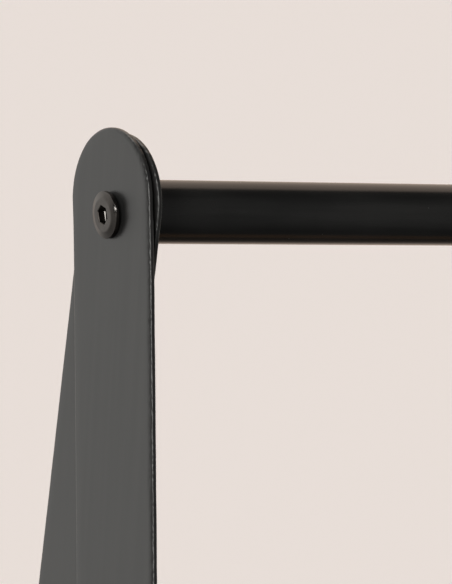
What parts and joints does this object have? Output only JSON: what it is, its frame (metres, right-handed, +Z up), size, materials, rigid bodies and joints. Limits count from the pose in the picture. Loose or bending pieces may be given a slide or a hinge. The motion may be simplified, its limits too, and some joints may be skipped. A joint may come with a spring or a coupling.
{
  "type": "clothes rack with shelves",
  "caption": "Free-standing clothes rack: A-shaped ends of flat steel bar carry a round hanging rail and board shelves on steel angle frames, with levelling feet.",
  "frame": {"origin": "on the floor, under the middle of the rack", "axes": "X along the rail, -Y is the front, +Z up"},
  "size_m": [1.006, 0.3772, 1.5248],
  "materials": {
    "coat": "black semi-gloss powder coat",
    "dark_fastener": "black plated steel, worn bright at the rims",
    "zinc": "bright zinc plate",
    "board": "brown oak decor, satin",
    "edging": "wood decor edge strip",
    "moulding": "black moulded plastic"
  },
  "bodies": {
    "rack": {"front_leg_left": "coat", "rear_leg_left": "coat", "front_leg_right": "coat", "rear_leg_right": "coat", "hanging_rail": "coat", "upper_angle_front": "coat", "upper_angle_rear": "coat", "upper_angle_left": "coat", "upper_angle_right": "coat", "lower_angle_front": "coat", "lower_angle_rear": "coat", "lower_angle_left": "coat", "lower_angle_right": "coat", "rail_bolt_left": "dark_fastener", "rail_bolt_right": "dark_fastener", "upper_leg_screws": "dark_fastener", "lower_leg_screws": "dark_fastener", "front_foot_nut_left": "zinc", "rear_foot_nut_left": "zinc", "rail_insert_left": "zinc", "front_foot_nut_right": "zinc", "rear_foot_nut_right": "zinc", "rail_insert_right": "zinc", "upper_board_screws": "zinc", "upper_leg_nuts": "zinc", "lower_board_screws": "zinc", "lower_leg_nuts": "zinc", "upper_shelf_board": "board", "lower_shelf_board": "board", "upper_shelf_edging": "edging", "lower_shelf_edging": "edging", "leg_washer_left": "moulding", "leg_washer_right": "moulding", "upper_leg_spacers": "moulding", "lower_leg_spacers": "moulding"},
    "front_left_foot": {"front_foot_stud_left": "zinc", "front_foot_pad_left": "moulding"},
    "front_right_foot": {"front_foot_stud_right": "zinc", "front_foot_pad_right": "moulding"},
    "rear_left_foot": {"rear_foot_stud_left": "zinc", "rear_foot_pad_left": "moulding"},
    "rear_right_foot": {"rear_foot_stud_right": "zinc", "rear_foot_pad_right": "moulding"}
  },
  "joints": [
    {"name": "front_left_foot_level", "type": "slide", "parent": "rack", "child": "front_left_foot", "axis": [0, 0, -1], "range_m": [0, 0.01]},
    {"name": "front_right_foot_level", "type": "slide", "parent": "rack", "child": "front_right_foot", "axis": [0, 0, -1], "range_m": [0, 0.01]},
    {"name": "rear_left_foot_level", "type": "slide", "parent": "rack", "child": "rear_left_foot", "axis": [0, 0, -1], "range_m": [0, 0.01]},
    {"name": "rear_right_foot_level", "type": "slide", "parent": "rack", "child": "rear_right_foot", "axis": [0, 0, -1], "range_m": [0, 0.01]}
  ]
}
